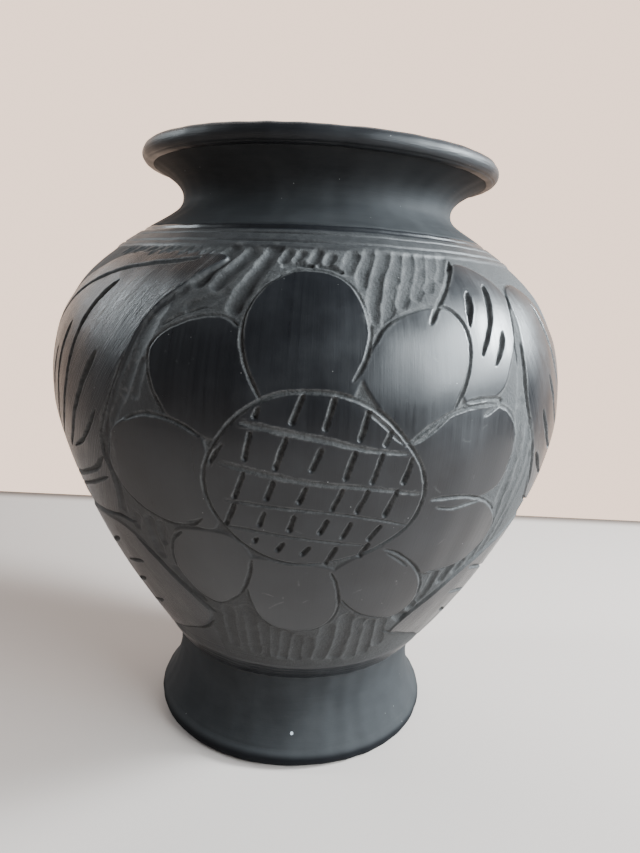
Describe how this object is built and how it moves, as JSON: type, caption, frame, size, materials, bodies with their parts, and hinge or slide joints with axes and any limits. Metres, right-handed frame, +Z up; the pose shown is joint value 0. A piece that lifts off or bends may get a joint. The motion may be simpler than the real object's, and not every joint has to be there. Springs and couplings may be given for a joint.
{
  "type": "carved black clay vase",
  "caption": "Rounded black clay vase with a flared foot, waisted neck, rolled lip and a carved flower panel; open at the top.",
  "frame": {"origin": "centre of the ring that the foot stands on", "axes": "+Z up along the axis of the pot, -Y towards the carved flower panel's middle"},
  "size_m": [0.1746, 0.1746, 0.2],
  "materials": {
    "burnished_clay": "burnished satin, graphite black, unglazed",
    "carved_clay": "burnished petals and leaves, matt scraped ground between them"
  },
  "bodies": {
    "root": {"foot_ring": "burnished_clay", "base_bowl": "carved_clay", "belly_wall": "carved_clay", "shoulder": "carved_clay", "neck_collar": "burnished_clay", "lip_coil": "burnished_clay"}
  },
  "joints": []
}
